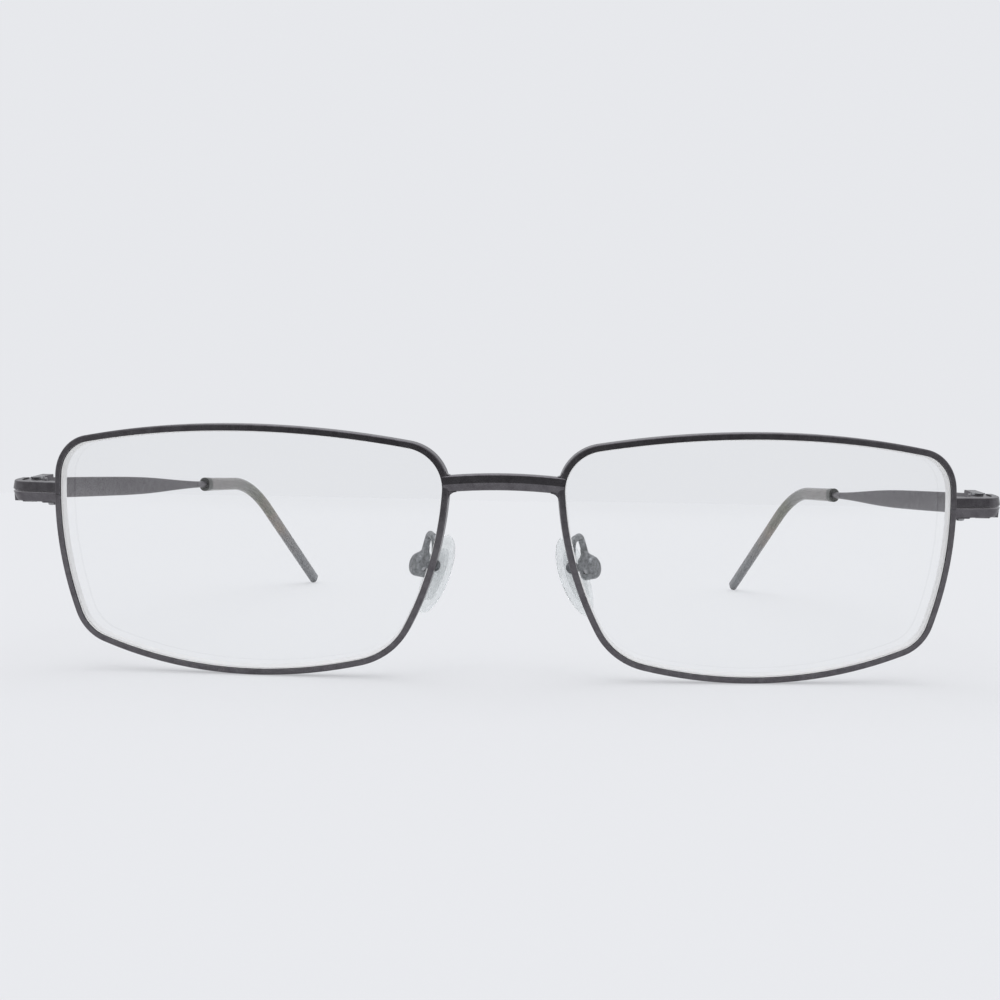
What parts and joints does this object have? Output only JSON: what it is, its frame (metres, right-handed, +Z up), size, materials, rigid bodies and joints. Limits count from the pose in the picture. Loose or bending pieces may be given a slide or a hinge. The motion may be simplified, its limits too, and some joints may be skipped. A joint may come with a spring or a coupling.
{
  "type": "rectangular eyeglasses",
  "caption": "Full-rim metal eyeglasses with rectangular clear lenses, folding flat temples with covered tips, and rocking clear nose pads on bent wire arms.",
  "frame": {"origin": "on the surface that the glasses stand on, under the middle of their bounding box", "axes": "+X to the right as seen from in front of the glasses, +Y from the front back along the temples, +Z up; the glasses are open"},
  "size_m": [0.142, 0.1336, 0.035],
  "materials": {
    "frame_metal": "satin gunmetal-brown coating",
    "collar_metal": "dark satin coating",
    "arm_metal": "dull grey metal",
    "screw_steel": "dark steel",
    "lens": "clear plano lens, pale ground edge",
    "tip_plastic": "translucent grey-brown",
    "pad_soft": "clear soft silicone",
    "pad_core": "clear hard plastic"
  },
  "bodies": {
    "front": {"bridge": "frame_metal", "rim_left": "frame_metal", "lens_left": "lens", "end_piece_left": "frame_metal", "lock_upper_left": "frame_metal", "lock_lower_left": "frame_metal", "lock_screw_left": "screw_steel", "hinge_front_leaf_left": "frame_metal", "hinge_screw_left": "screw_steel", "pad_arm_left": "arm_metal", "pad_box_left": "arm_metal", "pad_screw_left": "screw_steel", "rim_right": "frame_metal", "lens_right": "lens", "end_piece_right": "frame_metal", "lock_upper_right": "frame_metal", "lock_lower_right": "frame_metal", "lock_screw_right": "screw_steel", "hinge_front_leaf_right": "frame_metal", "hinge_screw_right": "screw_steel", "pad_arm_right": "arm_metal", "pad_box_right": "arm_metal", "pad_screw_right": "screw_steel"},
    "temple_left": {"temple_left": "frame_metal", "hinge_temple_leaf_left": "frame_metal", "tip_collar_left": "collar_metal", "temple_tip_left": "tip_plastic"},
    "temple_right": {"temple_right": "frame_metal", "hinge_temple_leaf_right": "frame_metal", "tip_collar_right": "collar_metal", "temple_tip_right": "tip_plastic"},
    "pad_left": {"pad_insert_left": "pad_core", "nose_pad_left": "pad_soft"},
    "pad_right": {"pad_insert_right": "pad_core", "nose_pad_right": "pad_soft"}
  },
  "joints": [
    {"name": "temple_left_fold", "type": "hinge", "parent": "front", "child": "temple_left", "pos_m": [-0.06851, -0.05566, 0.02582], "axis": [0, 0.1736, -0.9848], "range_deg": [0, 86]},
    {"name": "temple_right_fold", "type": "hinge", "parent": "front", "child": "temple_right", "pos_m": [0.06851, -0.05566, 0.02582], "axis": [0, -0.1736, 0.9848], "range_deg": [0, 80]},
    {"name": "pad_left_rock", "type": "hinge", "parent": "front", "child": "pad_left", "pos_m": [-0.01245, -0.05564, 0.01571], "axis": [-0.4668, 0.8218, 0.3268], "range_deg": [-10, 10]},
    {"name": "pad_right_rock", "type": "hinge", "parent": "front", "child": "pad_right", "pos_m": [0.01245, -0.05564, 0.01571], "axis": [0.4668, 0.8218, 0.3268], "range_deg": [-10, 10]}
  ]
}
